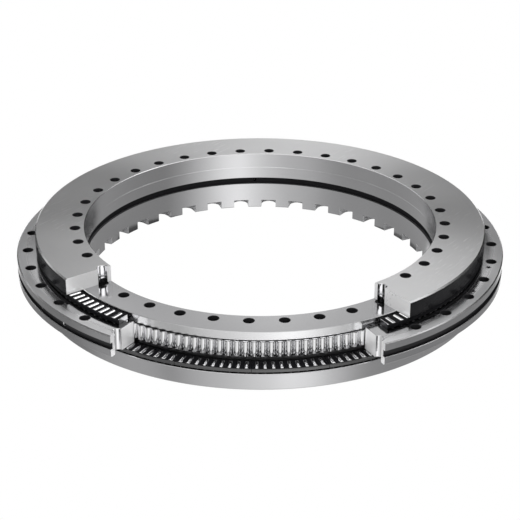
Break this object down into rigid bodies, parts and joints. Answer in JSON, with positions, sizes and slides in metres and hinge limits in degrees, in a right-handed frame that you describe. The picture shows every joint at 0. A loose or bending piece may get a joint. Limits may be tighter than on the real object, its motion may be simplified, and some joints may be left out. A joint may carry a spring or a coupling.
{
  "type": "rotary table bearing",
  "caption": "Flat rotary table bearing cut open in front: a flanged inner ring and a drilled outer ring run on radial rollers and two rows of axial rollers in black cages.",
  "frame": {"origin": "on the axis of the bearing, midway along the radial rollers and the outer ring's width", "axes": "+Z along the axis, up to the locating washer; the cut-away window faces -Y"},
  "size_m": [0.45, 0.4325, 0.06],
  "materials": {
    "ring_steel": "satin",
    "outer_ring_steel": "satin",
    "roller_steel": "polished",
    "cage_black": "matte",
    "screw_black": "satin"
  },
  "bodies": {
    "inner_ring": {"l_section_ring": "ring_steel", "shaft_locating_washer": "ring_steel", "retaining_screw_left": "screw_black", "retaining_screw_right": "screw_black"},
    "outer_ring": {"outer_ring": "outer_ring_steel"},
    "upper_row": {"upper_cage_left_end": "cage_black", "upper_cage_right_end": "cage_black", "upper_cage_01": "cage_black", "upper_cage_02": "cage_black", "upper_cage_03": "cage_black", "upper_cage_04": "cage_black", "upper_cage_05": "cage_black", "upper_cage_06": "cage_black", "upper_cage_07": "cage_black", "upper_cage_08": "cage_black", "upper_cage_09": "cage_black", "upper_cage_10": "cage_black", "upper_cage_11": "cage_black", "upper_cage_12": "cage_black", "upper_cage_13": "cage_black", "upper_cage_14": "cage_black", "upper_cage_15": "cage_black", "upper_cage_16": "cage_black", "upper_axial_rollers": "roller_steel"},
    "lower_row": {"lower_cage_01": "cage_black", "lower_cage_02": "cage_black", "lower_cage_03": "cage_black", "lower_cage_04": "cage_black", "lower_cage_05": "cage_black", "lower_cage_06": "cage_black", "lower_cage_07": "cage_black", "lower_cage_08": "cage_black", "lower_cage_09": "cage_black", "lower_cage_10": "cage_black", "lower_cage_11": "cage_black", "lower_cage_12": "cage_black", "lower_cage_13": "cage_black", "lower_cage_14": "cage_black", "lower_cage_15": "cage_black", "lower_cage_16": "cage_black", "lower_cage_17": "cage_black", "lower_cage_18": "cage_black", "lower_cage_19": "cage_black", "lower_cage_20": "cage_black", "lower_axial_rollers": "roller_steel"},
    "radial_row": {"radial_rollers": "roller_steel"}
  },
  "joints": [
    {"name": "outer_ring_turn", "type": "hinge", "parent": "inner_ring", "child": "outer_ring", "pos_m": [0, 0, 0], "axis": [0, 0, 1], "continuous": true},
    {"name": "upper_row_turn", "type": "hinge", "parent": "inner_ring", "child": "upper_row", "pos_m": [0, 0, 0], "axis": [0, 0, 1], "continuous": true},
    {"name": "lower_row_turn", "type": "hinge", "parent": "inner_ring", "child": "lower_row", "pos_m": [0, 0, 0], "axis": [0, 0, 1], "continuous": true},
    {"name": "radial_row_turn", "type": "hinge", "parent": "inner_ring", "child": "radial_row", "pos_m": [0, 0, 0], "axis": [0, 0, 1], "continuous": true}
  ],
  "couplings": [
    {"joint": "upper_row_turn", "follows": "outer_ring_turn", "ratio": 0.5},
    {"joint": "lower_row_turn", "follows": "outer_ring_turn", "ratio": 0.5},
    {"joint": "radial_row_turn", "follows": "outer_ring_turn", "ratio": 0.51}
  ]
}
